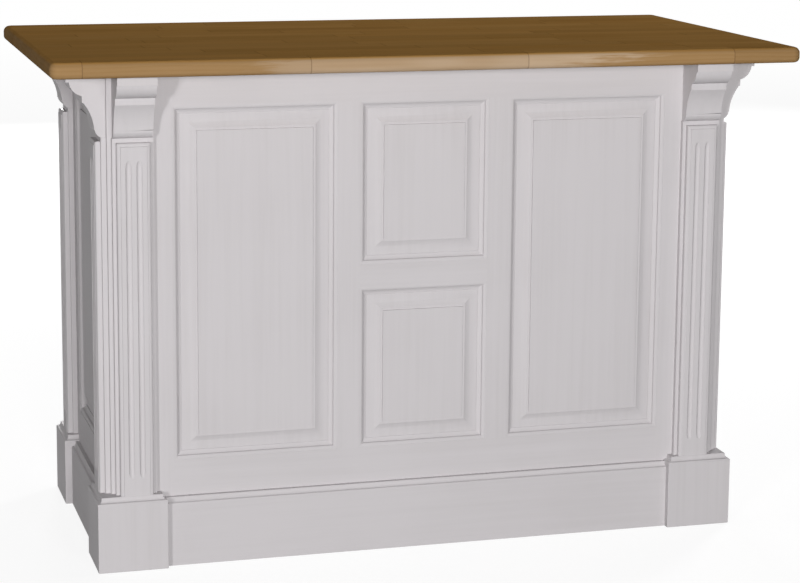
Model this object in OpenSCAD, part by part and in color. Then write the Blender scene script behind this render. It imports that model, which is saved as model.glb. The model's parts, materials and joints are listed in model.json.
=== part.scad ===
/* [Overall] */
// Height from the floor to the top of the worktop
height = 910; // [880:1:960]
// Width over the plinth blocks
base_w = 1196; // [1150:1:1400]
// Depth over the plinth blocks
base_d = 554; // [540:1:700]
// Distance from the plinth blocks to the worktop's edge
overhang = 80; // [74:1:120]
// Width of the hairline left at a glued joint
glue_gap = 0.08; // [0.05:0.01:0.15]
// Clearance between pieces that slide or seat on one another
slide_gap = 0.3; // [0.2:0.05:0.6]

/* [Worktop] */
// Thickness of the worktop
worktop_t = 28; // [26:1:36]
// Radius of the worktop's corners in plan
corner_r = 17; // [15:1:30]
// Radius along the worktop's top edge
top_round = 11; // [8:1:12]
// Radius along the worktop's lower edge
low_round = 9; // [6:1:12]

/* [Plinth] */
// Width of a square plinth block
block_w = 124; // [116:1:140]
// Height of a plinth block
block_h = 135; // [130:1:150]
// Height of the plinth boards between the blocks
board_h = 124; // [116:1:128]
// How far the plinth boards stand back from the blocks
board_in = 13; // [10:1:16]
// Thickness of the plinth boards
board_t = 22; // [20:1:24]
// Height of the hollow moulding on blocks and boards
plinth_mould_h = 9; // [6:1:10]
// Depth of the hollow moulding on blocks and boards
plinth_mould_in = 8; // [6:1:8]

/* [Posts, pilasters and corbels] */
// Side of a square corner post
post_w = 64; // [60:1:68]
// Width of a pilaster
pilaster_w = 72; // [66:1:76]
// Strip of the post left bare at the corner
corner_strip = 7.5; // [6:0.5:12]
// Thickness of a pilaster's back board
pilaster_board_t = 9; // [7:0.5:10]
// Thickness of a pilaster's raised field
pilaster_field_t = 11; // [9:0.5:12]
// Ledge of back board round the raised field
pilaster_ledge = 6.5; // [4:0.5:8]
// Distance from a corbel down to the top of its pilaster's field
field_drop = 7.5; // [4:0.5:20]
// Width of a flute
flute_w = 10.6; // [8:0.2:12]
// Depth of a flute
flute_d = 3.4; // [2:0.2:4]
// Distance between the centres of the two flutes
flute_pitch = 19; // [16:0.2:24]
// Radius of the run-out at a flute's ends
flute_runout = 34; // [10:1:60]
// Width of a corbel
corbel_w = 69; // [60:1:72]
// Height of a corbel
corbel_h = 114; // [110:1:120]
// How far a corbel's lip stands out from the post
corbel_out = 67.5; // [64:0.5:70]

/* [Frames and panels] */
// Thickness of the frames
frame_t = 22; // [22:1:24]
// Flat width of the stiles
stile_flat = 49; // [44:1:56]
// Flat width of the mullions
mullion_flat = 41; // [36:1:48]
// Flat height of the top rails
top_flat = 61.5; // [50:0.5:70]
// Flat height of the bottom rails
bottom_flat = 65.5; // [60:0.5:70]
// Flat height of the front's middle rail
middle_flat = 42; // [36:1:48]
// Height of the middle rail's centre above the floor
middle_z = 505; // [480:1:530]
// Width of the centre column between the mullions' flats
centre_w = 239; // [225:1:260]
// Width of the moulding worked on a frame's inner edge
stick_w = 14; // [12:0.5:16]
// Depth of that moulding
stick_d = 10; // [9:0.5:10]
// Depth of the groove that holds a panel
groove_d = 8; // [7:0.5:10]
// Width of that groove
groove_w = 6; // [5:0.5:6]
// How far a panel's raised field lies behind the frame
field_sink = 2.7; // [1:0.1:3.5]
// Width of the hollow bevel round a panel's field
bevel_w = 24.5; // [18:0.1:26]

/* [Doors and drawers] */
// Gap round a door or drawer front
door_gap = 2; // [1.5:0.1:3]
// Gap on the side that carries the hinges
hinge_gap = 2.4; // [2.4:0.1:3]
// Flat width of the doors' stiles and rails
door_flat = 40; // [34:1:46]
// Height of the rails between the drawers
drawer_rail_h = 20; // [16:1:24]
// Thickness of the drawer boxes' sides
box_t = 12; // [10:1:14]
// Height of the drawer boxes
box_h = 150; // [110:5:160]
// Thickness of the drawer bottoms
box_bottom_t = 6; // [5:1:8]
// Distance of a hinge from the end of its opening
hinge_in = 100; // [80:5:160]
// Length of a hinge
hinge_h = 60; // [50:1:80]
// Outer radius of a hinge's knuckles
knuckle_r = 3.5; // [3:0.1:4]
// Radius of a hinge pin
pin_r = 2; // [1.6:0.1:2.2]
// Thickness of a hinge leaf
leaf_t = 1; // [0.8:0.1:1]
// Radius of a knob's head
knob_r = 15; // [12:1:18]
// Length of a knob
knob_len = 27; // [24:1:32]

/* [Inside] */
// Thickness of the cabinet floor, partitions and shelves
panel_t = 18; // [16:1:20]
// Height of the shelves' top above the floor
shelf_z = 500; // [400:10:600]
// Section of the battens under the worktop
batten = 22; // [20:1:26]
// Radius of a shelf pin
shelf_pin_r = 2.5; // [2:0.1:3]
// Radius of a screw's shank
screw_r = 2.2; // [2:0.1:2.5]

/* [Hidden] */

$fn = 48;
paint = [0.78, 0.76, 0.75];
pine = [0.66, 0.50, 0.32];
steel = [0.62, 0.61, 0.58];
// steps in a moulding's curve
curve_steps = 8;
drawers = 3;
// amount by which a cutter runs past the face it cuts
over = 1;

// Places of the main faces
top_w = base_w + 2 * overhang;
top_d = base_d + 2 * overhang;
under_z = height - worktop_t;
pilaster_t = pilaster_board_t + pilaster_field_t;
post_x = base_w / 2 - plinth_mould_in - pilaster_t;
post_y = base_d / 2 - plinth_mould_in - pilaster_t;
post_in_x = post_x - post_w;
post_in_y = post_y - post_w;
corner_x = post_x - corner_strip - pilaster_w / 2;
corbel_z = under_z - corbel_h;

// Openings in the front and rear frames, measured to the flats' edges
outer_x = post_in_x - stile_flat;
inner_x = centre_w / 2 + mullion_flat;
centre_x = centre_w / 2;
low_z = board_h + bottom_flat;
high_z = under_z - top_flat;
middle_low = middle_z - middle_flat / 2;
middle_high = middle_z + middle_flat / 2;
side_edge = post_in_y - stile_flat;

// Depths below a frame's face
quirk = 0.8;
groove_front = stick_d + 1;
groove_back = groove_front + groove_w;
tongue = groove_d - 1;
margin_w = 1;
step_w = 0.3;
fillet_w = 3.7;
panel_step = 0.7;
field_step = 1.9;
field_line_w = 0.7;
field_line_d = 0.4;
tongue_slack = 0.1;
bevel_rise = groove_front + tongue_slack - panel_step - field_sink - field_step;
bevel_turn = 45;

// Inside heights
shelf_back = 27;
floor_top = low_z;
batten_z = under_z - batten;
drawer_h = (high_z - low_z - (drawers - 1) * drawer_rail_h) / drawers;
runner_t = 16;
box_x = centre_x - door_gap - 0.5;
partition_in = 131;
partition_out = partition_in + panel_t;
inside_y = post_y - frame_t;
inside_x = post_x - frame_t;
box_back = -200;

// Hinges and knobs
hinge_z = [low_z + hinge_in, high_z - hinge_in];
hinge_x = outer_x - hinge_gap / 2;
hinge_y = post_y + knuckle_r + 0.2;
leaf_d = 16;
running = 0.05;
knob_z = 620;
door_x = outer_x - hinge_gap;
door_free_x = inner_x + door_gap;
knob_x = door_free_x + door_flat / 2;
catch_z = 660;
catch_w = 34;
catch_h = 40;
catch_d = 18.5;
strike_w = 16;
strike_in = 3;

// Points on an elliptical arc
function arc_points(cx, cy, rx, ry, start, end) =
    [for (i = [0:curve_steps])
        let (a = start + (end - start) * i / curve_steps)
        [cx + rx * cos(a), cy + ry * sin(a)]];

// Points on a bowed line between two points, pushed sideways by bow at its middle
function bowed_points(from, to, bow) =
    let (d = to - from, n = [d[1], -d[0]] / norm(d))
    [for (i = [0:curve_steps])
        let (t = i / curve_steps)
        from + d * t + n * bow * 4 * t * (1 - t)];

function flip_points(points, w) =
    [for (i = [len(points) - 1:-1:0]) [w - points[i][0], points[i][1]]];

// Right-hand edge of a frame bar from its front to its back: a flat ovolo, a riser
// and a hollow slope down to the panel
first_w = 0.48 * stick_w;
first_d = 0.36 * stick_d;
second_d = 0.6 * stick_d;

function moulded_edge(w, t) = concat(
    [[w - stick_w, 0], [w - stick_w, quirk]],
    [for (p = arc_points(quirk, first_d, first_w - quirk, first_d - quirk, -90, 0))
        [w - stick_w + p[0], p[1]]],
    bowed_points([w - stick_w + first_w + 0.2, second_d], [w - 0.4, stick_d - 0.2], -0.5),
    [[w, stick_d], [w, groove_front], [w - groove_d, groove_front],
     [w - groove_d, groove_back], [w, groove_back], [w, t]]);

function plain_edge(w, t) = [[w, 0], [w, t]];

// A bar along Z, its front at y = 0, with a moulding and panel groove on either edge
module bar(length, w, left = false, right = false, t = frame_t) {
    right_points = right ? moulded_edge(w, t) : plain_edge(w, t);
    left_points = flip_points(left ? moulded_edge(w, t) : plain_edge(w, t), w);
    linear_extrude(length) polygon(concat(right_points, left_points));
}

// The same bar along X, with its mouldings on its upper and lower edges
module rail(length, w, upper = false, lower = false, t = frame_t) {
    translate([0, 0, w]) rotate([0, 90, 0]) bar(length, w, upper, lower, t);
}

module box(low, high) {
    translate(low) cube(high - low);
}

// Copies a hair apart on every side, to cut a joint that doesn't fuse
module loosened() {
    for (dx = [-glue_gap, glue_gap], dy = [-glue_gap, glue_gap])
        translate([dx, dy, 0]) children();
}

module mirrored_pair() {
    children();
    mirror([1, 0, 0]) children();
}

// Turns a piece drawn for the front so that it faces another side
module facing(side) {
    turn = side == "front" ? 0 : side == "left" ? -90 : side == "rear" ? 180 : 90;
    rotate([0, 0, turn]) children();
}

// Mirrors a piece drawn at the front left into another corner
module at_corner(right = false, rear = false) {
    mirror([right ? 1 : 0, 0, 0]) mirror([0, rear ? 1 : 0, 0]) children();
}

// Worktop
function edge_profile(r) = concat(
    arc_points(r - top_round, worktop_t - top_round, top_round, top_round, 90, 0),
    arc_points(r - low_round, low_round, low_round, low_round, 0, -90));

module worktop_body() {
    x = top_w / 2 - corner_r;
    y = top_d / 2 - corner_r;
    profile = concat([[0, worktop_t]], edge_profile(corner_r), [[0, 0]]);
    box([-x, -y, 0], [x, y, worktop_t]);
    for (sx = [-1, 1], sy = [-1, 1])
        translate([sx * x, sy * y, 0]) rotate_extrude() polygon(profile);
    for (turn = [0, 180]) rotate([0, 0, turn]) {
        translate([x, y, 0]) rotate([90, 0, 0]) linear_extrude(2 * y) polygon(profile);
        rotate([0, 0, 90]) translate([y, x, 0])
            rotate([90, 0, 0]) linear_extrude(2 * x) polygon(profile);
    }
}

screw_x = [-420, -180, 180, 420];
screw_y = inside_y - batten / 2;
screw_depth = 18;

module screw_places() {
    for (x = screw_x, y = [-screw_y, screw_y]) translate([x, y, batten_z]) children();
}

module worktop() {
    color(pine) difference() {
        translate([0, 0, under_z]) worktop_body();
        screw_places() cylinder(r = screw_r + running, h = batten + screw_depth + 0.5);
    }
}

// Plinth: outline of a block or board in section, with a hollow over a rounded lip
// along its top edge
lip_in = 2.6;
lip_h = 3.4;

function hollow_edge(x, z) = concat(
    [[x, 0]],
    arc_points(x - lip_in, z - plinth_mould_h - lip_h, lip_in, lip_h, 0, 90),
    arc_points(x - lip_in - 0.4, z - 2, plinth_mould_in - lip_in - 0.9, plinth_mould_h - 2,
        -90, -180),
    [[x - plinth_mould_in + 0.5, z - 1], [x - plinth_mould_in, z]]);

module block_section() {
    edge = hollow_edge(block_w, block_h);
    linear_extrude(block_w) polygon(concat(edge, flip_points(edge, block_w)));
}

module plinth_block() {
    color(paint) translate([-base_w / 2, -base_d / 2, 0]) intersection() {
        translate([0, block_w, 0]) rotate([90, 0, 0]) block_section();
        rotate([90, 0, 90]) block_section();
    }
}

// A plinth board seen from the front, between two blocks
module plinth_board(length, depth) {
    color(paint) translate([-length / 2, -depth / 2 + board_in + board_t, 0])
        rotate([90, 0, 90]) linear_extrude(length)
            polygon(concat([[0, board_h], [0, 0]],
                [for (p = hollow_edge(board_t, board_h)) [-p[0], p[1]]]));
}

module long_board() plinth_board(base_w - 2 * block_w, base_d);
module short_board() plinth_board(base_d - 2 * block_w, base_w);

// The four blocks, cut out of what stands on and beside them
module all_blocks() {
    for (right = [false, true], rear = [false, true]) at_corner(right, rear) plinth_block();
}

module post() {
    color(paint) box([-post_x, -post_y, block_h], [-post_in_x, -post_in_y, under_z]);
}

// A pilaster on the front of a post, its foot on the block
field_edge_w = 6;
field_lip = 1.2;

function field_edge(w) = concat(
    [[w - pilaster_ledge, 0], [w - pilaster_ledge, pilaster_t - 4.3]],
    [for (p = arc_points(0, 0, field_edge_w, 3.5, 0, 90))
        [w - pilaster_ledge - field_edge_w + p[0], pilaster_t - 4.3 + p[1]]],
    [[w - pilaster_ledge - field_edge_w - 0.2, pilaster_t - field_lip],
     [w - pilaster_ledge - field_edge_w - 0.8, pilaster_t]]);

module pilaster_field(height_of_field) {
    edge = field_edge(pilaster_w);
    across = concat(edge, flip_points(edge, pilaster_w));
    up = concat(field_edge(height_of_field + pilaster_ledge), [[0, pilaster_t], [0, 0]]);
    intersection() {
        mirror([0, 1, 0]) linear_extrude(height_of_field) polygon(across);
        mirror([0, 1, 0]) mirror([0, 0, 1]) rotate([0, 90, 0]) linear_extrude(pilaster_w)
            polygon(up);
    }
}

flute_low = block_h + 31;
flute_high = corbel_z - 38;
flute_r = (flute_w * flute_w / 4 + flute_d * flute_d) / (2 * flute_d);
runout_h = sqrt(pow(flute_runout + flute_r, 2) - pow(flute_runout + flute_r - flute_d, 2));

// Keeps the planes on which a cutter's parts meet at whole tenths, so that no film is left there
function tenth(size) = round(size * 10) / 10;

// The cutter of a flute, its axis upright: at each end it lifts along an arc to a point
module flute_end() {
    translate([0, -flute_runout, 0]) rotate([90, 0, 90]) rotate_extrude(angle = 50)
        translate([flute_runout, 0]) circle(r = flute_r);
}

module flute(from, to) {
    translate([0, 0, from]) cylinder(r = flute_r, h = to - from);
    translate([0, 0, to]) flute_end();
    translate([0, 0, from]) mirror([0, 0, 1]) flute_end();
}

module pilaster() {
    field_h = corbel_z - block_h - field_drop;
    difference() {
        union() {
            box([-corner_x - pilaster_w / 2, -post_y - pilaster_board_t, block_h],
                [-corner_x + pilaster_w / 2, -post_y, corbel_z]);
            translate([-corner_x - pilaster_w / 2, -post_y, block_h]) pilaster_field(field_h);
        }
        for (side = [-1, 1])
            translate([-corner_x + side * flute_pitch / 2,
                       -post_y - pilaster_t - flute_r + flute_d, 0])
                flute(tenth(flute_low + runout_h), tenth(flute_high - runout_h));
    }
}

// Draws a front piece of a corner and the same piece on the corner's side
module both_faces() {
    children(0);
    translate([-post_x, -post_y, 0]) mirror([1, -1, 0]) translate([post_x, post_y, 0])
        children(0);
}

module pilasters() {
    color(paint) both_faces() pilaster();
}

// Side view of a corbel, measured out from the post and up from its own foot
function corbel_outline() =
    let (lip = corbel_h - 17.5, fillet_top = corbel_h - 41.5, fillet_low = corbel_h - 53.5)
    concat(
        [[0, 0], [0, corbel_h], [corbel_out, corbel_h], [corbel_out, lip],
         [corbel_out - 5.5, lip]],
        bowed_points([corbel_out - 5.5, lip - 1], [corbel_out - 26, fillet_top], -4.5),
        [[corbel_out - 27.3, fillet_top], [corbel_out - 27.3, fillet_low],
         [corbel_out - 30, fillet_low]],
        bowed_points([corbel_out - 30.2, fillet_low - 0.6], [19.5, 15], 3.5),
        [[19.5, 13], [18.2, 12.6]],
        bowed_points([18.2, 10.5], [8, 0], -1.6));

module corbel() {
    translate([-corner_x + corbel_w / 2, -post_y, corbel_z]) rotate([90, 0, -90])
        linear_extrude(corbel_w) polygon(corbel_outline());
}

module corbels() {
    color(paint) both_faces() corbel();
}

// Front and side frames, drawn in the plane of the front
module stile(edge_x, in_x) {
    translate([-in_x, 0, board_h])
        bar(under_z - board_h, in_x - edge_x + stick_w, right = true);
}

module low_rail(edge_x) {
    translate([-edge_x, 0, board_h]) rail(2 * edge_x, bottom_flat + stick_w, upper = true);
}

module high_rail(edge_x) {
    translate([-edge_x, 0, high_z - stick_w])
        rail(2 * edge_x, top_flat + stick_w, lower = true);
}

module mullion() {
    translate([-inner_x - stick_w, 0, low_z])
        bar(high_z - low_z, mullion_flat + 2 * stick_w, left = true, right = true);
}

module on_front() {
    translate([0, -post_y, 0]) children();
}

module front_stiles() {
    color(paint) difference() {
        on_front() mirrored_pair() stile(outer_x, post_in_x);
        all_blocks();
    }
}

module front_rails() {
    color(paint) on_front() {
        difference() {
            union() {
                low_rail(outer_x);
                high_rail(outer_x);
            }
            mirrored_pair() stile(outer_x, post_in_x);
        }
        difference() {
            translate([-centre_x, 0, middle_low - stick_w])
                rail(2 * centre_x, middle_flat + 2 * stick_w, upper = true, lower = true);
            mirrored_pair() mullion();
        }
    }
}

module front_mullions() {
    color(paint) on_front() difference() {
        mirrored_pair() mullion();
        low_rail(outer_x);
        high_rail(outer_x);
    }
}

// Half of a raised panel's section: distance from its edge, depth below the frame's face
function panel_edge(w, sink) =
    let (fillet = sink + field_step, bevel = fillet + bevel_rise, low = bevel + panel_step,
         start = tongue + margin_w + step_w, end = start + bevel_w + fillet_w)
    concat(
        [[0, low], [start - step_w, low]],
        [for (i = [0:curve_steps])
            let (a = bevel_turn * i / curve_steps)
            [start + bevel_w * sin(a) / sin(bevel_turn),
             bevel - bevel_rise * (1 - cos(a)) / (1 - cos(bevel_turn))]],
        [[end, fillet], [end, fillet + field_line_d],
         [end + field_line_w, fillet + field_line_d], [end + field_line_w + step_w, sink]]);

// A panel that fills a sight opening of w by h, its middle at the origin
module raised_panel(w, h, sink = field_sink, back = groove_back - tongue_slack) {
    full_w = w + 2 * tongue;
    full_h = h + 2 * tongue;
    across = concat(panel_edge(full_w, sink), flip_points(panel_edge(full_w, sink), full_w),
        [[full_w, back], [0, back]]);
    up = concat(panel_edge(full_h, sink), flip_points(panel_edge(full_h, sink), full_h),
        [[full_h, back], [0, back]]);
    translate([-full_w / 2, 0, -full_h / 2]) intersection() {
        linear_extrude(full_h) polygon(across);
        mirror([0, 0, 1]) rotate([0, 90, 0]) linear_extrude(full_w) polygon(up);
    }
}

// The panel of an opening given by its flats' edges
module panel_between(x0, x1, z0, z1) {
    color(paint) translate([(x0 + x1) / 2, 0, (z0 + z1) / 2])
        raised_panel(x1 - x0 - 2 * stick_w, z1 - z0 - 2 * stick_w);
}

module front_side_panel() on_front() panel_between(-outer_x, -inner_x, low_z, high_z);
module front_upper_panel() on_front() panel_between(-centre_x, centre_x, middle_high, high_z);
module front_lower_panel() on_front() panel_between(-centre_x, centre_x, low_z, middle_low);

pin_from_edge = 14;
shelf_pin_y = side_edge + pin_from_edge;
shelf_pin_z = shelf_z - panel_t - shelf_pin_r;
pin_in = 8;
pin_out = 9;

// Shelf pins, or the holes for them in the side frames and partitions
module shelf_pin_set(r, deep) {
    for (y = [-shelf_pin_y, shelf_pin_y]) mirrored_pair() {
        translate([inside_x - pin_out, y, shelf_pin_z]) rotate([0, 90, 0])
            cylinder(r = r, h = pin_out + deep);
        translate([partition_out + pin_out, y, shelf_pin_z]) rotate([0, -90, 0])
            cylinder(r = r, h = pin_out + deep);
    }
}

// Four bars round one panel, parted by hairlines at their joints
module side_frame_bars() {
    mirrored_pair() stile(side_edge, post_in_y);
    difference() {
        union() {
            low_rail(side_edge);
            high_rail(side_edge);
        }
        loosened() mirrored_pair() stile(side_edge, post_in_y);
    }
}

module side_frame(side) {
    color(paint) difference() {
        facing(side) translate([0, -post_x, 0]) side_frame_bars();
        all_blocks();
        shelf_pin_set(shelf_pin_r + running, pin_in + 0.2);
    }
}

module side_panel(side) {
    facing(side) translate([0, -post_x, 0])
        panel_between(-side_edge, side_edge, low_z, high_z);
}

// Rear face frame: square bars round two door openings and the drawers
module rear_face_frame() {
    g = glue_gap;
    color(paint) difference() {
        facing("rear") on_front() {
            mirrored_pair() {
                box([-post_in_x, 0, board_h], [-outer_x, frame_t, under_z]);
                box([-inner_x, 0, low_z + g], [-centre_x, frame_t, high_z - g]);
            }
            box([-outer_x + g, 0, board_h], [outer_x - g, frame_t, low_z]);
            box([-outer_x + g, 0, high_z], [outer_x - g, frame_t, under_z]);
            for (i = [1:drawers - 1])
                translate([0, 0, low_z + i * drawer_h + (i - 1) * drawer_rail_h])
                    box([-centre_x + g, 0, 0], [centre_x - g, frame_t, drawer_rail_h]);
        }
        all_blocks();
    }
}

module post_room() {
    for (right = [false, true], rear = [false, true]) at_corner(right, rear)
        box([-post_x, -post_y, -over], [-post_in_x, -post_in_y, height]);
}

module cabinet_floor() {
    color(pine) difference() {
        box([-inside_x, -inside_y, floor_top - panel_t], [inside_x, inside_y, floor_top]);
        post_room();
    }
}

module partitions() {
    color(pine) difference() {
        mirrored_pair()
            box([partition_in, -inside_y, floor_top], [partition_out, inside_y, batten_z]);
        shelf_pin_set(shelf_pin_r + running, pin_in + 0.2);
    }
}

module shelves() {
    color(pine) difference() {
        mirrored_pair() box([partition_out + 0.5, -inside_y + 1, shelf_z - panel_t],
            [inside_x - 0.5, inside_y - shelf_back, shelf_z]);
        for (right = [false, true], rear = [false, true]) at_corner(right, rear)
            box([-post_x, -post_y, -over], [-post_in_x + 0.5, -post_in_y + 0.5, height]);
    }
}

module shelf_pins() {
    color(steel) shelf_pin_set(shelf_pin_r, pin_in);
}

module worktop_battens() {
    color(pine) difference() {
        union() {
            for (turn = [0, 180]) rotate([0, 0, turn])
                box([-post_in_x, inside_y - batten, batten_z],
                    [post_in_x, inside_y, under_z]);
            mirrored_pair() box([inside_x - batten, -post_in_y, batten_z],
                [inside_x, post_in_y, under_z]);
        }
        screw_places() translate([0, 0, -over])
            cylinder(r = screw_r + running, h = batten + 2 * over);
        screw_places() translate([0, 0, -0.01])
            cylinder(r1 = 2 * screw_r + running, r2 = screw_r + running, h = screw_r);
    }
}

module worktop_screws() {
    color(steel) screw_places() {
        cylinder(r = screw_r, h = batten + screw_depth);
        cylinder(r1 = 2 * screw_r - running, r2 = screw_r - running, h = screw_r);
    }
}

// Height of a drawer's opening, counted from the top
function drawer_low(i) = low_z + (drawers - 1 - i) * (drawer_h + drawer_rail_h);

module drawer_runners() {
    guide_h = 22;
    color(pine) for (i = [0:drawers - 1]) translate([0, 0, drawer_low(i)]) mirrored_pair() {
        box([box_x - 14, -inside_y, 0], [partition_in, inside_y, runner_t]);
        box([box_x + slide_gap, -inside_y, 0], [partition_in, inside_y, runner_t + guide_h]);
    }
}

module door_catches() {
    color(steel) mirrored_pair()
        box([partition_out, inside_y - 1.5 - catch_d, catch_z],
            [partition_out + catch_w, inside_y - 1.5, catch_z + catch_h]);
}

// Hinges: a leaf on each side of the gap, three knuckles and a pin
module knuckle(from, to) {
    translate([hinge_x, hinge_y, from]) difference() {
        cylinder(r = knuckle_r, h = to - from);
        translate([0, 0, -over]) cylinder(r = pin_r + running, h = to - from + 2 * over);
    }
}

module leaf(x, from, to) {
    box([x, post_y - leaf_d, from], [x + leaf_t, hinge_y, to]);
}

module pin_room() {
    translate([hinge_x, hinge_y, -over]) cylinder(r = pin_r + running, h = height);
}

module knuckle_room(from, to) {
    translate([hinge_x, hinge_y, from]) cylinder(r = knuckle_r + slide_gap, h = to - from);
    box([hinge_x - knuckle_r, hinge_y, from], [hinge_x + knuckle_r, hinge_y + knuckle_r, to]);
}

third = hinge_h / 3;

module frame_leaf(z) {
    difference() {
        union() {
            leaf(outer_x - leaf_t, z, z + hinge_h);
            knuckle(z, z + third - slide_gap / 2);
            knuckle(z + 2 * third + slide_gap / 2, z + hinge_h);
        }
        knuckle_room(z + third - slide_gap / 2, z + 2 * third + slide_gap / 2);
        pin_room();
    }
}

module door_leaf(z) {
    difference() {
        union() {
            leaf(door_x, z, z + hinge_h);
            knuckle(z + third + slide_gap / 2, z + 2 * third - slide_gap / 2);
        }
        knuckle_room(z - over, z + third + slide_gap / 2);
        knuckle_room(z + 2 * third - slide_gap / 2, z + hinge_h + over);
        pin_room();
    }
}

module hinge_frame_leaves() {
    color(steel) mirrored_pair() for (z = hinge_z) frame_leaf(z);
}

module hinge_pins() {
    color(steel) mirrored_pair() for (z = hinge_z) translate([hinge_x, hinge_y, z]) {
        translate([0, 0, -1]) cylinder(r = pin_r, h = hinge_h + 2);
        translate([0, 0, -2.5]) cylinder(r = pin_r + 0.8, h = 2);
        translate([0, 0, hinge_h + 0.5]) cylinder(r = pin_r + 0.8, h = 2);
    }
}

// Doors, drawn on the right-hand side and mirrored for the other
door_w = door_x - door_free_x;
door_h = high_z - low_z - 2 * door_gap;
strike_t = 1;

module door_place() {
    translate([(door_x + door_free_x) / 2, post_y, (low_z + high_z) / 2])
        rotate([0, 0, 180]) children();
}

module door_stile() {
    translate([-door_w / 2, 0, -door_h / 2]) bar(door_h, door_flat + stick_w, right = true);
}

module door_rail() {
    edge = door_w / 2 - door_flat;
    translate([-edge, 0, -door_h / 2]) rail(2 * edge, door_flat + stick_w, upper = true);
}

module door_frame() {
    color(paint) door_place() {
        mirrored_pair() door_stile();
        difference() {
            union() {
                door_rail();
                mirror([0, 0, 1]) door_rail();
            }
            loosened() mirrored_pair() door_stile();
        }
    }
}

module door_panel() {
    sight = 2 * (door_flat + stick_w);
    color(paint) door_place() raised_panel(door_w - sight, door_h - sight);
}

module door_fittings() {
    color(steel) {
        for (z = hinge_z) door_leaf(z);
        box([door_free_x + strike_in, inside_y - strike_t, catch_z + 4],
            [door_free_x + strike_in + strike_w, inside_y, catch_z + catch_h - 4]);
    }
}

// A turned knob that points along +Y from the origin
module knob() {
    outline = concat(
        [[0, 0], [9, 0], [9, 1.5]],
        bowed_points([8, 2.5], [6.2, 9], 0.8),
        bowed_points([6.2, 11], [knob_r, knob_len - 9], 1.6),
        arc_points(0, knob_len - 9, knob_r, 9, 10, 90));
    color(pine) rotate([-90, 0, 0]) rotate_extrude() polygon(outline);
}

module door_knob() {
    translate([knob_x, post_y, knob_z]) knob();
}

// Drawers, slid out along +Y
module drawer_front(i) {
    w = centre_w - 2 * door_gap - 2 * tongue;
    h = drawer_h - 2 * door_gap - 2 * tongue;
    color(paint) translate([0, post_y, drawer_low(i) + drawer_h / 2]) rotate([0, 0, 180])
        raised_panel(w, h, sink = 0, back = frame_t);
}

module drawer_box(i) {
    g = glue_gap;
    low = drawer_low(i) + runner_t + slide_gap;
    bottom = 8;
    above = bottom + box_bottom_t;
    into = 5;
    color(pine) translate([0, 0, low]) {
        difference() {
            union() {
                mirrored_pair()
                    box([box_x - box_t, box_back, 0], [box_x, inside_y, box_h]);
                box([-box_x + box_t + g, inside_y - box_t, 0],
                    [box_x - box_t - g, inside_y, box_h]);
            }
            box([-box_x + box_t - into - g, box_back - over, bottom - g],
                [box_x - box_t + into + g, inside_y - box_t + into + g, above + g]);
        }
        box([-box_x + box_t + g, box_back, above + g],
            [box_x - box_t - g, box_back + box_t, box_h]);
        box([-box_x + box_t - into, box_back, bottom],
            [box_x - box_t + into, inside_y - box_t + into, above]);
    }
}

module drawer_knob(i) {
    translate([0, post_y, drawer_low(i) + drawer_h / 2]) knob();
}

worktop();
at_corner() post();  // front_left_post
at_corner(right = true) post();  // front_right_post
at_corner(rear = true) post();  // rear_left_post
at_corner(right = true, rear = true) post();  // rear_right_post
at_corner() plinth_block();  // front_left_plinth_block
at_corner(right = true) plinth_block();  // front_right_plinth_block
at_corner(rear = true) plinth_block();  // rear_left_plinth_block
at_corner(right = true, rear = true) plinth_block();  // rear_right_plinth_block
facing("front") long_board();  // front_plinth_board
facing("rear") long_board();  // rear_plinth_board
facing("left") short_board();  // left_plinth_board
facing("right") short_board();  // right_plinth_board
at_corner() pilasters();  // front_left_pilasters
at_corner(right = true) pilasters();  // front_right_pilasters
at_corner(rear = true) pilasters();  // rear_left_pilasters
at_corner(right = true, rear = true) pilasters();  // rear_right_pilasters
at_corner() corbels();  // front_left_corbels
at_corner(right = true) corbels();  // front_right_corbels
at_corner(rear = true) corbels();  // rear_left_corbels
at_corner(right = true, rear = true) corbels();  // rear_right_corbels
front_stiles();
front_rails();
front_mullions();
front_side_panel();  // front_left_panel
mirror([1, 0, 0]) front_side_panel();  // front_right_panel
front_upper_panel();
front_lower_panel();
side_frame("left");  // left_side_frame
side_panel("left");  // left_side_panel
side_frame("right");  // right_side_frame
side_panel("right");  // right_side_panel
rear_face_frame();
cabinet_floor();
partitions();
shelves();
shelf_pins();
worktop_battens();
worktop_screws();
drawer_runners();
door_catches();
hinge_frame_leaves();
hinge_pins();
mirror([1, 0, 0]) door_frame();  // left_door_frame
mirror([1, 0, 0]) door_panel();  // left_door_panel
mirror([1, 0, 0]) door_knob();  // left_door_knob
mirror([1, 0, 0]) door_fittings();  // left_door_fittings
door_frame();  // right_door_frame
door_panel();  // right_door_panel
door_knob();  // right_door_knob
door_fittings();  // right_door_fittings
drawer_front(0);  // top_drawer_front
drawer_box(0);  // top_drawer_box
drawer_knob(0);  // top_drawer_knob
drawer_front(1);  // middle_drawer_front
drawer_box(1);  // middle_drawer_box
drawer_knob(1);  // middle_drawer_knob
drawer_front(2);  // bottom_drawer_front
drawer_box(2);  // bottom_drawer_box
drawer_knob(2);  // bottom_drawer_knob
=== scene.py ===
import bpy
import bmesh
import json
import math
from mathutils import Matrix, Vector


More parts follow.
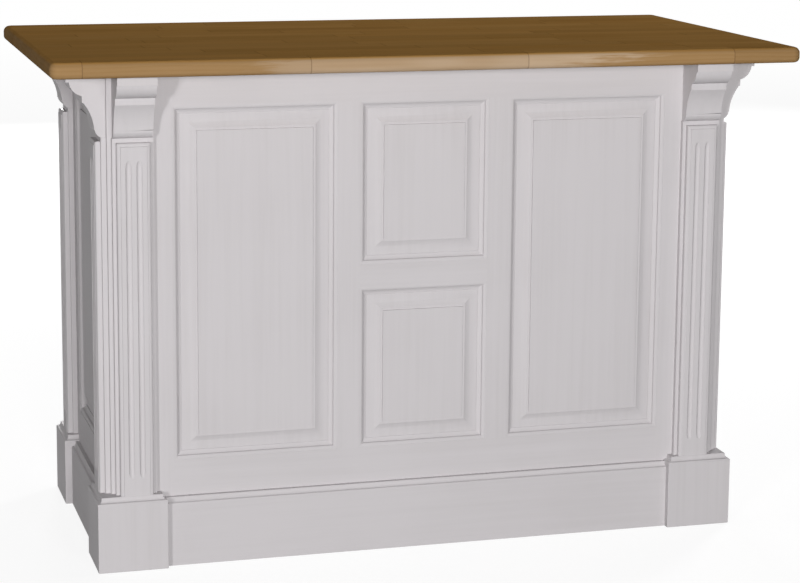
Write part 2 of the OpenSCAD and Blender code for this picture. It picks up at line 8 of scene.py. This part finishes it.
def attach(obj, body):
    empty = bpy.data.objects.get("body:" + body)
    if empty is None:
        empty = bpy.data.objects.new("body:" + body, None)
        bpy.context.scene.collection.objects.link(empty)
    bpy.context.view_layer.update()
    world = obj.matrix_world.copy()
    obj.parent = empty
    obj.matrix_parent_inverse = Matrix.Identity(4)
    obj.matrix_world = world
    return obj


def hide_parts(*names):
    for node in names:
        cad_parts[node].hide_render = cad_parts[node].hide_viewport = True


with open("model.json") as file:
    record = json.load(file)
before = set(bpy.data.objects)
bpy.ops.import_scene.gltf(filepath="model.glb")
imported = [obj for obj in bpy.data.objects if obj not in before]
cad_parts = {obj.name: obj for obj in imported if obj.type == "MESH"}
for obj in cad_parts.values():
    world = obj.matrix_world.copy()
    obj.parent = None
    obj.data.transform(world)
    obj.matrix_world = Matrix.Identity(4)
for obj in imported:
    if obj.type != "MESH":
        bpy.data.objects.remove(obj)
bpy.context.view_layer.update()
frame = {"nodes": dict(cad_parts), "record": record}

scene = bpy.context.scene
bodyOf = {node: body for body, nodes in frame["record"]["behaviour"]["bodies"].items()
          for node in nodes}
slotOf = {part["node"]: part["material_slot"] for part in frame["record"]["subparts"]}
print("frame loaded:", len(bodyOf), "nodes")


# Camera, at the photograph's place
cameraView = {
    "place": (-1.1545, -4.1292, 1.3172),
    "yaw": 0.2783,  # towards +X
    "pitch": 0.1705,  # downwards
    "roll": 0.0081,
    "width": 800,  # pixels of the picture, the unit of the next two
    "focal": 2292.0,
    "shift": -81.5,  # the picture's middle lies under the lens's axis
    "sensor": 36,  # millimetres
    "clipEnd": 100,  # metres
}


def makeCamera(look):
    yaw, pitch, roll = look["yaw"], look["pitch"], look["roll"]
    forward = Vector((math.sin(yaw) * math.cos(pitch), math.cos(yaw) * math.cos(pitch),
                      -math.sin(pitch)))
    right = Vector((math.cos(yaw), -math.sin(yaw), 0))
    up = right.cross(forward)
    across = math.cos(roll) * right + math.sin(roll) * up
    upright = math.cos(roll) * up - math.sin(roll) * right
    data = bpy.data.cameras.new("camera")
    data.sensor_width = look["sensor"]
    data.lens = look["focal"] * look["sensor"] / look["width"]
    data.shift_y = look["shift"] / look["width"]
    data.clip_end = look["clipEnd"]
    camera = bpy.data.objects.new("camera", data)
    scene.collection.objects.link(camera)
    camera.matrix_world = Matrix.Translation(look["place"]) @ Matrix(
        (across, upright, -forward)).transposed().to_4x4()
    scene.camera = camera


makeCamera(cameraView)
print("camera set")


# Shader maths: sums on values add Math nodes
class Value:
    def __init__(self, finish, socket):
        self.finish, self.socket = finish, socket

    def __add__(self, other):
        return self.finish.maths("ADD", self, other)

    def __sub__(self, other):
        return self.finish.maths("SUBTRACT", self, other)

    def __rsub__(self, other):
        return self.finish.maths("SUBTRACT", other, self)

    def __mul__(self, other):
        return self.finish.maths("MULTIPLY", self, other)

    def __truediv__(self, other):
        return self.finish.maths("DIVIDE", self, other)

    __radd__ = __add__
    __rmul__ = __mul__


class Finish:
    def __init__(self, name):
        self.material = bpy.data.materials.new(name)
        self.material.use_nodes = True
        self.tree = self.material.node_tree
        self.shader = self.tree.nodes["Principled BSDF"]

    def node(self, kind, settings, sockets, out=0):
        made = self.tree.nodes.new(kind)
        for key, value in settings.items():
            setattr(made, key, value)
        for key, value in sockets.items():
            self.feed(made.inputs[key], value)
        return Value(self, made.outputs[out])

    def feed(self, socket, value):
        if isinstance(value, Value):
            self.tree.links.new(value.socket, socket)
        elif socket.type == "RGBA":
            socket.default_value = (*value, 1)
        else:
            socket.default_value = value

    def maths(self, operation, *values):
        return self.node("ShaderNodeMath", {"operation": operation}, dict(enumerate(values)))

    def vectors(self, operation, *values, out=0):  # its number, as a length, is out 1
        return self.node("ShaderNodeVectorMath", {"operation": operation},
                         dict(enumerate(values)), out)

    def mixed(self, amount, low, high):  # colours
        return self.node("ShaderNodeMix", {"data_type": "RGBA"},
                         {0: amount, 6: low, 7: high}, out=2)

    def tinted(self, color, amount):  # a colour times a value
        return self.node("ShaderNodeMix", {"data_type": "RGBA", "blend_type": "MULTIPLY"},
                         {0: 1.0, 6: color, 7: amount}, out=2)

    def eased(self, value, low, high):  # 0 below low, 1 above high
        return self.node("ShaderNodeMapRange", {"interpolation_type": "SMOOTHSTEP"},
                         {0: value, 1: low, 2: high, 3: 0.0, 4: 1.0})

    def offMiddle(self, value):  # 0 in the middle of each whole step, 0.5 at its ends
        return self.maths("ABSOLUTE", self.maths("FRACT", value) - 0.5)

    def place(self):  # Object coordinates
        return self.node("ShaderNodeTexCoord", {}, {}, out=3)

    def upward(self):  # 1 on a face that looks straight up
        return self.split(self.node("ShaderNodeTexCoord", {}, {}, out=1))[2]

    def stretched(self, vector, scale):
        return self.node("ShaderNodeMapping", {"vector_type": "POINT"},
                         {"Vector": vector, "Scale": scale})

    def noise(self, vector, scale, detail, roughness=0.5):
        return self.node("ShaderNodeTexNoise", {}, {"Vector": vector, "Scale": scale,
                         "Detail": detail, "Roughness": roughness})

    def drawnOut(self, place, axis, scale, detail, roughness=0.5):  # noise along a board
        return self.noise(self.stretched(place, along(axis, *scale)), 1, detail, roughness)

    def split(self, vector):
        first = self.node("ShaderNodeSeparateXYZ", {}, {0: vector})
        made = first.socket.node
        return [Value(self, made.outputs[i]) for i in range(3)]

    def joined(self, x, y, z):
        return self.node("ShaderNodeCombineXYZ", {}, {0: x, 1: y, 2: z})

    def bump(self, height, strength, depth):
        return self.node("ShaderNodeBump", {}, {"Height": height, "Strength": strength,
                         "Distance": depth})

    def finished(self, links, fixed):
        for key, value in {**links, **fixed}.items():
            self.feed(self.shader.inputs[key], value)
        return self.material


def along(axis, length, width):  # scales of a pattern that is drawn out along a board
    return [length if i == axis else width for i in range(3)]


# Paint: satin grey-white, brushed along each board, with a little of the grain under it
paintLook = {
    "color": (0.585, 0.56, 0.572),
    "shade": (0.53, 0.505, 0.512),  # where it is thin or rubbed
    "roughness": 0.5,
    "sheen": 0.04,
    "brushScale": (5, 330),  # along and across a board
    "grainScale": (2.2, 95),
    "cloudScale": 4.2,
    "speckScale": 900,
    "thinShares": (0.55, 0.45),  # of the grain and the clouds
    "thinRim": (0.40, 0.72),
    "thinAmount": 0.55,
    "roughShares": (0.14, 0.12),  # of the clouds and the brush
    "relief": (0.5, 0.8, 0.06),  # of the brush, the grain and the specks
    "reliefStrength": 0.09,
    "reliefDepth": 0.00012,
}


def makePaint(name, axis, look):
    finish = Finish(name)
    place = finish.place()
    brush = finish.drawnOut(place, axis, look["brushScale"], 4, 0.6)
    grain = finish.drawnOut(place, axis, look["grainScale"], 5, 0.65)
    clouds = finish.noise(place, look["cloudScale"], 3)
    speck = finish.noise(place, look["speckScale"], 2)
    byGrain, byClouds = look["thinShares"]
    thin = finish.eased(grain * byGrain + clouds * byClouds, *look["thinRim"])
    byClouds, byBrush = look["roughShares"]
    roughness = look["roughness"] + (clouds - 0.5) * byClouds + (brush - 0.5) * byBrush
    byBrush, byGrain, bySpeck = look["relief"]
    return finish.finished({
        "Base Color": finish.mixed(thin * look["thinAmount"], look["color"], look["shade"]),
        "Roughness": roughness,
        "Normal": finish.bump(brush * byBrush + grain * byGrain + speck * bySpeck,
                              look["reliefStrength"], look["reliefDepth"]),
    }, {"Specular IOR Level": look["sheen"]})


# Pine, sawn from its own place in a log for each board or stave
worktopLook = {
    "light": (0.35, 0.214, 0.097),
    "dark": (0.28, 0.16, 0.058),
    "knot": (0.07, 0.032, 0.012),
    "top": (1.28, 1.135, 0.757),  # painted light on the upper face: each colour is multiplied by this where a face looks up
    "pale": (0.50, 0.375, 0.26),  # painted sheen: a paler band in the middle of the edges
    "staveWidth": 0.0455,
    "staveLength": 0.39,
    "staveTones": 0.13,
    "ringSpacing": 0.0075,
    "ringDepth": 0.30,
    "roughness": 0.7,
    "specular": 0.0,
}
insideLook = {
    "light": (0.60, 0.425, 0.232),
    "dark": (0.42, 0.262, 0.118),
    "knot": (0.15, 0.072, 0.03),
    "top": (1, 1, 1),
    "pale": (0.60, 0.425, 0.232),
    "staveWidth": 0.13,
    "staveLength": 2.4,
    "staveTones": 0.26,
    "ringSpacing": 0.0048,
    "ringDepth": 0.62,
    "roughness": 0.62,
    "specular": 0.3,
}
knobLook = {
    "light": (0.36, 0.205, 0.082),
    "dark": (0.235, 0.12, 0.042),
    "knot": (0.07, 0.032, 0.012),
    "top": (1, 1, 1),
    "pale": (0.36, 0.205, 0.082),
    "staveWidth": 0.4,
    "staveLength": 2.4,
    "staveTones": 0.26,
    "ringSpacing": 0.0032,
    "ringDepth": 0.62,
    "roughness": 0.38,
    "specular": 0.45,
}
pineGrain = {  # the same in all three: scales along and across a board, and where things fade
    "rowStart": 7.3,  # staves by which the rows may be shifted
    "knotScale": (3.1, 9.5),
    "knotShare": (0.66, 0.70),  # the higher, the fewer knots
    "knotRim": (0.035, 0.075),
    "swirlRim": (0.02, 0.30),
    "driftScale": (1.3, 0.6),
    "fineScale": (7, 60),
    "fibreScale": (14, 900),
    "cloudScale": (1.6, 14),
    "patchScale": (4.2, 22),
    "patchRim": (0.4, 0.6),
    "pithSide": (0.09, 0.10),  # metres by chance and by drift
    "pithDepth": (0.035, 0.07, 0.03),  # metres at least, by chance and by drift
    "ringPush": (0.9, 1.6),  # by the fine noise and by the swirl round a knot
    "lateRise": (0.30, 0.88),  # of a ring
    "lateFall": (0.90, 1.0),
    "darkShares": (0.5, 0.9, 0.35),  # of the fibres, the clouds and the swirl
    "darkness": (-0.35, 1.05),
    "upper": (0.55, 0.93),  # how far a face looks up
    "sheenBand": (0.25, 0.37),  # metres from the middle of a board
    "streaks": (0.5, 0.25),  # metres by the fine noise and by the fibres
    "sheenBandShare": (0.45, 0.28),  # at least and by patches
    "staveHues": ((0.985, 0.03), (0.96, 0.08)),  # green and blue, at least and by chance
    "seam": (0.488, 0.5),  # of a stave's width
    "butt": (0.4965, 0.4995),  # of a stave's length
    "seamShare": 0.45,
    "roughShares": (0.08, 0.12),  # of the late wood and the fibres
    "relief": (0.6, 0.35, 0.6),  # of the fibres, the late wood and the seams
    "reliefStrength": 0.3,
    "reliefDepth": 0.0003,
}


def makePine(name, axis, look, grain):
    finish = Finish(name)
    place = finish.place()
    parts = finish.split(place)
    lengthwise, across, through = parts[axis], parts[(axis + 1) % 3], parts[(axis + 2) % 3]
    row = finish.maths("FLOOR", across / look["staveWidth"])
    rowChance = finish.node("ShaderNodeTexWhiteNoise", {"noise_dimensions": "1D"}, {"W": row})
    reach = lengthwise / look["staveLength"] + rowChance * grain["rowStart"]
    stave = finish.maths("FLOOR", reach)
    chance = finish.node("ShaderNodeTexWhiteNoise", {"noise_dimensions": "2D"},
                         {"Vector": finish.joined(row, stave, 0.0)}, out=1)
    tone, shift, tilt = finish.split(chance)
    # knots, which push the rings aside
    cell = finish.vectors("ADD", finish.stretched(place, along(axis, *grain["knotScale"])), chance)
    knotSpace, knotChance = [finish.node("ShaderNodeTexVoronoi", {"feature": "F1"},
                                         {"Vector": cell, "Scale": 1.0}, out=i) for i in range(2)]
    kept = finish.eased(finish.split(knotChance)[0], *grain["knotShare"])
    knot = (1 - finish.eased(knotSpace, *grain["knotRim"])) * kept
    swirl = (1 - finish.eased(knotSpace, *grain["swirlRim"])) * kept
    # rings round a pith that wanders along the board
    drift = finish.drawnOut(place, axis, grain["driftScale"], 2)
    fine = finish.drawnOut(place, axis, grain["fineScale"], 4, 0.6)
    byChance, byDrift = grain["pithSide"]
    side = (across - (row + 0.5) * look["staveWidth"] + (shift - 0.5) * byChance
            + (drift - 0.5) * byDrift)
    least, byChance, byDrift = grain["pithDepth"]
    depth = through + least + tilt * byChance + (drift - 0.5) * byDrift
    pith = finish.maths("SQRT", side * side + depth * depth)
    byFine, bySwirl = grain["ringPush"]
    ring = finish.maths("FRACT", pith / look["ringSpacing"] + fine * byFine + swirl * bySwirl)
    late = finish.eased(ring, *grain["lateRise"]) * (1 - finish.eased(ring, *grain["lateFall"]))
    fibre = finish.drawnOut(place, axis, grain["fibreScale"], 3, 0.7)
    clouds = finish.drawnOut(place, axis, grain["cloudScale"], 3)
    byFibre, byClouds, bySwirl = grain["darkShares"]
    darkness = (late * look["ringDepth"] + (fibre - 0.5) * byFibre + (clouds - 0.5) * byClouds
                + swirl * bySwirl)
    color = finish.mixed(finish.eased(darkness, *grain["darkness"]), look["light"], look["dark"])
    color = finish.mixed(knot, color, look["knot"])
    # painted sheen: a paler band in the middle of the edges, which runs out in streaks
    upper = finish.eased(finish.upward(), *grain["upper"])
    byFine, byFibre = grain["streaks"]
    streaked = lengthwise + (fine - 0.5) * byFine + (fibre - 0.5) * byFibre
    middle = 1 - finish.eased(finish.maths("ABSOLUTE", streaked), *grain["sheenBand"])
    patches = finish.eased(finish.drawnOut(place, axis, grain["patchScale"], 2),
                           *grain["patchRim"])
    least, byPatch = grain["sheenBandShare"]
    color = finish.mixed(middle * (least + patches * byPatch) * (1 - upper), color, look["pale"])
    # the tone of each stave, the painted light on the upper face, and the joints between staves
    spread = 1 + (tone - 0.5) * look["staveTones"]
    green, blue = [spread * (least + shift * byChance) for least, byChance in grain["staveHues"]]
    color = finish.tinted(color, finish.joined(spread, green, blue))
    color = finish.mixed(upper, color, finish.tinted(color, look["top"]))
    seam = finish.maths("MAXIMUM",
                        finish.eased(finish.offMiddle(across / look["staveWidth"]), *grain["seam"]),
                        finish.eased(finish.offMiddle(reach), *grain["butt"]))
    byLate, byFibre = grain["roughShares"]
    roughness = look["roughness"] - late * byLate + (fibre - 0.5) * byFibre
    byFibre, byLate, bySeam = grain["relief"]
    return finish.finished({
        "Base Color": finish.mixed(seam * grain["seamShare"], color, look["knot"]),
        "Roughness": roughness,
        "Normal": finish.bump(fibre * byFibre + late * byLate - seam * bySeam,
                              grain["reliefStrength"], grain["reliefDepth"]),
    }, {"Specular IOR Level": look["specular"], "IOR": 1.45})


# Zinc plated steel
steelLook = {
    "color": (0.56, 0.55, 0.52),
    "dull": (0.36, 0.34, 0.31),
    "roughness": 0.36,
    "brushScale": (120, 120, 2600),
    "cloudScale": 55,
    "dullRim": (0.45, 0.75),
    "roughShares": (0.2, 0.15),  # of the brush and the clouds
    "reliefStrength": 0.2,
    "reliefDepth": 0.0001,
}


def makeSteel(name, look):
    finish = Finish(name)
    place = finish.place()
    brushed = finish.noise(finish.stretched(place, look["brushScale"]), 1, 3)
    clouds = finish.noise(place, look["cloudScale"], 4)
    byBrush, byClouds = look["roughShares"]
    return finish.finished({
        "Base Color": finish.mixed(finish.eased(clouds, *look["dullRim"]), look["color"],
                                   look["dull"]),
        "Roughness": look["roughness"] + (brushed - 0.5) * byBrush + (clouds - 0.5) * byClouds,
        "Normal": finish.bump(brushed, look["reliefStrength"], look["reliefDepth"]),
    }, {"Metallic": 1.0})


finishes = {  # by slot: what a board takes that is longest along X, Y or Z
    "grey_paint": [makePaint("paint_" + "xyz"[axis], axis, paintLook) for axis in range(3)],
    "stained_pine": [makePine("stained_pine", 0, worktopLook, pineGrain)] * 3,
    "bare_pine": [makePine("bare_pine_" + "xyz"[axis], axis, insideLook, pineGrain)
                  for axis in range(3)],
    "turned_pine": [makePine("turned_pine", 1, knobLook, pineGrain)] * 3,
    "plated_steel": [makeSteel("plated_steel", steelLook)] * 3,
}
print("finishes made")


def only(piece):
    bpy.ops.object.select_all(action="DESELECT")
    piece.select_set(True)
    bpy.context.view_layer.objects.active = piece


def apply(piece, kind, **settings):
    only(piece)
    modifier = piece.modifiers.new(kind.lower(), kind)
    for key, value in settings.items():
        setattr(modifier, key, value)
    bpy.ops.object.modifier_apply(modifier=modifier.name)


def looseParts(work):  # lists of faces that hang together
    left = set(work.faces)
    while left:
        part, waiting = [], [left.pop()]
        while waiting:
            face = waiting.pop()
            part.append(face)
            for edge in face.edges:
                for other in edge.link_faces:
                    if other in left:
                        left.remove(other)
                        waiting.append(other)
        yield part


# Boards and fittings: each CAD solid with its arrises eased
arris = {  # widths by slot, in metres, and how they are made
    "grey_paint": 0.0009,
    "bare_pine": 0.0008,
    "stained_pine": 0,
    "turned_pine": 0,
    "plated_steel": 0.00025,
    "segments": 3,
    "leastLength": 4,  # of an edge that is eased, in widths of its arris
    "leastBreadth": 2.6,  # of the faces beside it
    "sharpest": math.radians(50),  # edges bent less than this belong to a curve
    "crease": math.radians(18),  # edges bent more than this stay crisp
    "flat": math.radians(0.6),  # faces bent less than this are one
    "doubles": 0.00001,
}


def breadth(face):  # of a long face, across its longest side
    longest = max(edge.calc_length() for edge in face.edges)
    return face.calc_area() / longest


def dress(node):
    kind = slotOf[node]
    source = frame["nodes"][node]
    piece = bpy.data.objects.new(node + "_piece", source.data.copy())
    scene.collection.objects.link(piece)
    piece.data.materials.clear()
    for material in finishes[kind]:
        piece.data.materials.append(material)
    only(piece)
    bpy.ops.object.mode_set(mode="EDIT")
    bpy.ops.mesh.select_all(action="SELECT")
    bpy.ops.mesh.remove_doubles(threshold=arris["doubles"])
    bpy.ops.mesh.dissolve_limited(angle_limit=arris["flat"], delimit={"NORMAL"})
    bpy.ops.mesh.select_all(action="DESELECT")
    work = bmesh.from_edit_mesh(piece.data)
    width = arris[kind]
    if width:
        for edge in work.edges:
            faces = edge.link_faces
            edge.select_set(len(faces) == 2 and edge.calc_face_angle() > arris["sharpest"]
                            and edge.calc_length() > arris["leastLength"] * width
                            and min(map(breadth, faces)) > arris["leastBreadth"] * width)
        bmesh.update_edit_mesh(piece.data)
        bpy.ops.mesh.bevel(offset=width, segments=arris["segments"], affect="EDGES",
                           clamp_overlap=True)
        work = bmesh.from_edit_mesh(piece.data)
    for part in looseParts(work):  # each board's grain runs along it
        spots = [vert.co for face in part for vert in face.verts]
        spans = [max(s[i] for s in spots) - min(s[i] for s in spots) for i in range(3)]
        for face in part:
            face.material_index = spans.index(max(spans))
    for face in work.faces:
        face.smooth = True
    for edge in work.edges:
        eased = any(face.select for face in edge.link_faces)  # the bevel's faces stay selected
        limit = arris["sharpest"] if eased else arris["crease"]
        edge.smooth = edge.calc_face_angle(0) < limit
    bmesh.update_edit_mesh(piece.data)
    bpy.ops.object.mode_set(mode="OBJECT")
    apply(piece, "WEIGHTED_NORMAL", keep_sharp=True, weight=100)
    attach(piece, bodyOf[node])
    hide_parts(node)


modelledHere = ["door_catches"]
for node in sorted(bodyOf):
    if node not in modelledHere:
        dress(node)
print("boards and fittings dressed")


# Small steel parts, in millimetres
steelShape = {"softSegments": 3, "smoothUnder": math.radians(30)}


def block(low, high, soft=0):
    bpy.ops.object.select_all(action="DESELECT")
    bpy.ops.mesh.primitive_cube_add(size=0.001)
    piece = bpy.context.object
    bpy.ops.transform.resize(value=[b - a for a, b in zip(low, high)])
    bpy.ops.transform.translate(value=[(a + b) / 2000 for a, b in zip(low, high)])
    bpy.ops.object.transform_apply(location=True, rotation=True, scale=True)
    if soft:
        apply(piece, "BEVEL", width=soft / 1000, segments=steelShape["softSegments"],
              limit_method="ANGLE")
    return piece


def oneOf(name, parts):
    bpy.ops.object.select_all(action="DESELECT")
    for part in parts:
        part.select_set(True)
    bpy.context.view_layer.objects.active = parts[0]
    bpy.ops.object.join()
    parts[0].name = name
    return parts[0]


def cut(piece, tool):
    apply(piece, "BOOLEAN", object=tool, operation="DIFFERENCE", solver="EXACT")
    only(tool)
    bpy.ops.object.delete()


def mirrored(piece):  # the same again on the other side of the island
    twin = piece.copy()
    twin.data = piece.data.copy()
    scene.collection.objects.link(twin)
    only(twin)
    twin.scale.x = -1
    bpy.ops.object.transform_apply(location=True, rotation=True, scale=True)
    bpy.ops.object.mode_set(mode="EDIT")
    bpy.ops.mesh.select_all(action="SELECT")
    bpy.ops.mesh.normals_make_consistent(inside=False)
    bpy.ops.object.mode_set(mode="OBJECT")
    return twin


def fitted(piece, body, kind="plated_steel"):
    only(piece)
    bpy.ops.object.shade_smooth_by_angle(angle=steelShape["smoothUnder"])
    piece.data.materials.clear()
    piece.data.materials.append(finishes[kind][0])
    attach(piece, body)
    return piece


# A pan head screw with a cross in it, drawn once on the origin and looking along +Z
screwLook = {
    "radius": 2.4,
    "sides": 40,
    "head": 0.7,  # what stands above the origin
    "soft": 0.35,
    "softSegments": 4,
    "crossLength": 2.9,
    "crossWidth": 0.55,
    "crossFloor": 0.35,  # of the head's height
}


def makeScrew(look):
    bpy.ops.object.select_all(action="DESELECT")
    bpy.ops.mesh.primitive_cylinder_add(vertices=look["sides"], radius=look["radius"] / 1000,
                                        depth=2 * look["head"] / 1000)
    screw = bpy.context.object
    apply(screw, "BEVEL", width=look["soft"] / 1000, segments=look["softSegments"],
          limit_method="ANGLE")
    long, wide = look["crossLength"] / 2, look["crossWidth"] / 2
    deep, above = look["head"] * look["crossFloor"], look["head"] * 3
    cut(screw, block((-long, -wide, deep), (long, wide, above)))
    cut(screw, block((-wide, -long, deep), (wide, long, above)))
    screw.name = "screw"
    return screw


def screwAt(screw, place, turn):
    piece = screw.copy()
    piece.data = screw.data.copy()
    scene.collection.objects.link(piece)
    only(piece)
    piece.location = [value / 1000 for value in place]
    piece.rotation_euler = [math.radians(angle) for angle in turn]
    bpy.ops.object.transform_apply(location=True, rotation=True, scale=True)
    return piece


# Magnetic catch on a partition: a housing with a magnet between two pole plates
catchLook = {
    "low": (149, 207, 660),
    "high": (183, 225.5, 700),
    "blocks": {  # in from the low corner, in from the high corner, rounding
        "flange": ((0, 0, 0), (32.6, 1.5, 0), 0.5),
        "housing": ((0.5, 1, 5), (0, 2.2, 5), 1.6),
        "recess": ((33, 4, 9), (-1, 6, 9), 0.4),
        "lowerGroove": ((6, 4, 4.2), (5, 6, 34.2), 0.3),
        "upperGroove": ((6, 4, 34.2), (5, 6, 4.2), 0.3),
        "magnet": ((4, 6, 13.5), (4, 0.9, 13.5), 0.3),
        "lowerPole": ((3, 6, 12.2), (3, 0, 26.6), 0.2),
        "upperPole": ((3, 6, 26.6), (3, 0, 12.2), 0.2),
    },
    "cuts": ("recess", "lowerGroove", "upperGroove"),  # into the housing
    "screws": ((1.4, 8, 2.6), (1.4, 8, 37.4)),  # in from the low corner
}


def makeCatch(look, screw):
    low, high = Vector(look["low"]), Vector(look["high"])
    blocks = {name: block(low + Vector(near), high - Vector(far), soft)
              for name, (near, far, soft) in look["blocks"].items()}
    for name in look["cuts"]:
        cut(blocks["housing"], blocks.pop(name))
    screws = [screwAt(screw, low + Vector(spot), (0, 90, 0)) for spot in look["screws"]]
    return oneOf("catch", list(blocks.values()) + screws)


screw = makeScrew(screwLook)  # the pattern for all the others
rightCatch = makeCatch(catchLook, screw)
catches = fitted(oneOf("door_catches_piece", [rightCatch, mirrored(rightCatch)]),
                 bodyOf["door_catches"])
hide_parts("door_catches")


# Screws in the strikes and in the hinge leaves
screwPlaces = {  # on the right, and the left is its mirror image
    "strikeX": 173.5,
    "strikeY": 226.6,
    "strikeLevels": (668, 692),
    "leafY": 240.5,
    "leafLevels": (-22, 0, 22),
    "hingeLevels": (319.5, 750.5),
    "doorLeafX": 455.0,  # the heads stand 0.1 mm off the leaves, which shut with 0.4 mm between
    "frameLeafX": 456.6,
}


def makeScrews(look, screw):
    forDoor = [screwAt(screw, (look["strikeX"], look["strikeY"], level), (90, 0, 0))
               for level in look["strikeLevels"]]
    forFrame = []
    for hinge in look["hingeLevels"]:
        for level in look["leafLevels"]:
            spot = (look["leafY"], hinge + level)
            forDoor.append(screwAt(screw, (look["doorLeafX"], *spot), (0, 90, 0)))
            forFrame.append(screwAt(screw, (look["frameLeafX"], *spot), (0, -90, 0)))
    right = oneOf("right_door_screws", forDoor)
    left = mirrored(right)
    left.name = "left_door_screws"
    frames = oneOf("hinge_frame_screws", forFrame)
    frames = oneOf("hinge_frame_screws", [frames, mirrored(frames)])
    fitted(right, bodyOf["right_door_fittings"])
    fitted(left, bodyOf["left_door_fittings"])
    fitted(frames, bodyOf["hinge_frame_leaves"])


makeScrews(screwPlaces, screw)
only(screw)
bpy.ops.object.delete()
print("catches and screws made")


# Floor, backdrop and lamps
studio = {
    "floorSize": 60,  # metres
    "floorTone": 0.22,  # what the floor throws back on the object
    "floorGlow": 0.86,  # what the camera sees of it, before the lamps add theirs
    "farGlow": 0.985,  # and far off, where the lamps add nothing
    "fade": (2.5, 10.0),  # metres from the middle
    "ambient": 0.05,  # what the backdrop throws on the object
    "lamps": [  # place, aim, width, height, watts
        ((-5.97, -7.63, 1.9), (0, 0, 0.5), 1.1, 1.1, 298),
        ((-0.95, -5.3, 1.25), (0, 0, 0.5), 0.8, 0.8, 134),
        ((0.5, -5.3, 1.35), (0, 0, 0.5), 0.9, 0.9, 48),
        ((0.2, 0.9, 2.7), (0, 0.1, 0.9), 2.2, 1.0, 4),
        ((4.3, 4.0, 2.0), (0, 0, 0.5), 1.2, 1.2, 185),
        ((0.3, 5.4, 1.6), (0, 0, 0.5), 1.0, 1.0, 128),
    ],
}


def seenAsIs(tree):  # 1 for the camera, gloss and glass, 0 for what lights the object
    path = tree.nodes.new("ShaderNodeLightPath")
    seen = path.outputs["Is Camera Ray"]
    for name in ("Is Glossy Ray", "Is Transmission Ray"):
        larger = tree.nodes.new("ShaderNodeMath")
        larger.operation = "MAXIMUM"
        tree.links.new(seen, larger.inputs[0])
        tree.links.new(path.outputs[name], larger.inputs[1])
        seen = larger.outputs[0]
    return seen


def makeFloor(look):
    bpy.ops.object.select_all(action="DESELECT")
    bpy.ops.mesh.primitive_plane_add(size=look["floorSize"])
    floor = bpy.context.object
    floor.name = "floor"
    finish = Finish("floor")
    nodes, links = finish.tree.nodes, finish.tree.links
    nodes.remove(finish.shader)
    plain = finish.node("ShaderNodeBsdfDiffuse", {}, {"Color": (look["floorTone"],) * 3})
    away = finish.vectors("LENGTH", finish.place(), out=1)
    rise = finish.eased(away, *look["fade"]) * (look["farGlow"] - look["floorGlow"])
    glow = finish.node("ShaderNodeEmission", {}, {"Strength": rise + look["floorGlow"]})
    lit = finish.node("ShaderNodeAddShader", {}, {0: plain, 1: glow})
    mixed = finish.node("ShaderNodeMixShader", {},
                        {0: Value(finish, seenAsIs(finish.tree)), 1: plain, 2: lit})
    links.new(mixed.socket, nodes["Material Output"].inputs["Surface"])
    floor.data.materials.append(finish.material)


def makeWorld(look):
    world = bpy.data.worlds.new("backdrop")
    scene.world = world
    world.use_nodes = True
    nodes, links = world.node_tree.nodes, world.node_tree.links
    back = nodes["Background"]
    back.inputs["Color"].default_value = (1, 1, 1, 1)
    strength = nodes.new("ShaderNodeMapRange")
    strength.inputs["To Min"].default_value = look["ambient"]
    links.new(seenAsIs(world.node_tree), strength.inputs["Value"])
    links.new(strength.outputs[0], back.inputs["Strength"])


def makeLamp(number, place, aim, width, height, watts):
    data = bpy.data.lights.new("softbox_%d" % number, "AREA")
    data.shape = "RECTANGLE"
    data.size, data.size_y, data.energy = width, height, watts
    lamp = bpy.data.objects.new(data.name, data)
    scene.collection.objects.link(lamp)
    lamp.location = place
    lamp.rotation_euler = (Vector(aim) - Vector(place)).to_track_quat("-Z", "Y").to_euler()


makeFloor(studio)
makeWorld(studio)
for number, lamp in enumerate(studio["lamps"]):
    makeLamp(number, *lamp)
scene.view_settings.view_transform = "Standard"
print("studio lit")
